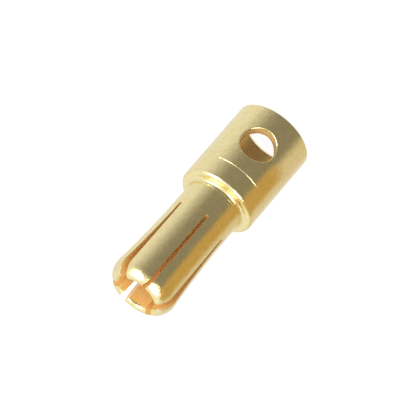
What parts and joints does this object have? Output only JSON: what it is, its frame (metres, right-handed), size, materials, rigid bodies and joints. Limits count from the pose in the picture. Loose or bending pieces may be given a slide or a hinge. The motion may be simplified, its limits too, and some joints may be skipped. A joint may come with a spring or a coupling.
{
  "type": "bullet connector plug",
  "caption": "Gold-plated bullet plug for a battery lead: a solder cup with a side hole and a slotted, sprung round contact pin.",
  "frame": {"origin": "centre of the cup's mouth, on the plane of its rim", "axes": "+Z along the plug's axis, from the solder cup to the tip of the contact pin; -Y through the middle of the solder hole"},
  "size_m": [0.0073, 0.0072, 0.0206],
  "materials": {
    "gold_plated_brass": "turned brass with bright gold plating, faint tool marks"
  },
  "bodies": {
    "root": {"plug_body": "gold_plated_brass"}
  },
  "joints": []
}
